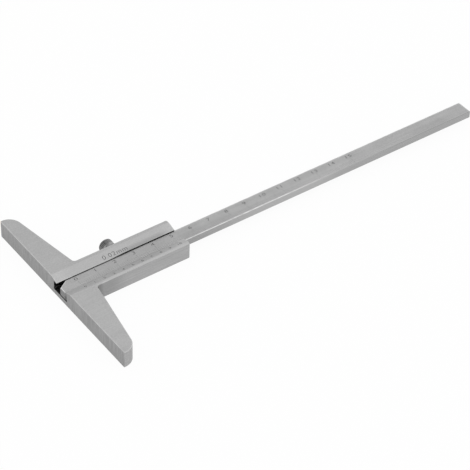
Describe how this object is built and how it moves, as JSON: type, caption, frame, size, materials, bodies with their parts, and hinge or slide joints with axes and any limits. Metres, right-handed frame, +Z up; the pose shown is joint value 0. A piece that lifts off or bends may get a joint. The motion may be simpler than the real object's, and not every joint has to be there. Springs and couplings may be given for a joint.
{
  "type": "depth gauge",
  "caption": "Steel vernier depth gauge with a tapered two-arm base, a slider frame with an undercut channel, a sliding graduated beam and a knurled lock screw.",
  "frame": {"origin": "middle of the measuring face's lower edge, on the plane of the underside", "axes": "+X back along the beam from the measuring face, +Y along the base, +Z up from the underside to the scale side"},
  "size_m": [0.2291, 0.1, 0.0088],
  "materials": {
    "frame_steel": "satin ground stainless steel with fine machining lines on the measuring face",
    "beam_steel": "satin ground stainless steel, graduations filled black",
    "spring_bronze": "rolled phosphor bronze leaf",
    "screw_steel": "darker steel with a straight knurl",
    "pad_brass": "turned brass",
    "gib_screw_steel": "dark steel with a driver slot"
  },
  "bodies": {
    "frame_body": {"base_frame": "frame_steel", "gib_spring": "spring_bronze", "gib_screw_front": "gib_screw_steel", "gib_screw_rear": "gib_screw_steel"},
    "beam_body": {"beam": "beam_steel"},
    "pad_body": {"lock_pad": "pad_brass"},
    "screw_body": {"lock_screw": "screw_steel"}
  },
  "joints": [
    {"name": "beam_slide", "type": "slide", "parent": "frame_body", "child": "beam_body", "axis": [-1, 0, 0], "range_m": [0, 0.15]},
    {"name": "pad_travel", "type": "slide", "parent": "frame_body", "child": "pad_body", "axis": [0, 1, 0], "range_m": [0, 0.0005]},
    {"name": "screw_turn", "type": "hinge", "parent": "pad_body", "child": "screw_body", "pos_m": [0.0322, 0.0144, 0.00502], "axis": [0, 1, 0], "range_deg": [0, 360]}
  ],
  "couplings": [
    {"joint": "screw_turn", "follows": "pad_travel", "rad_per_m": 12566}
  ]
}
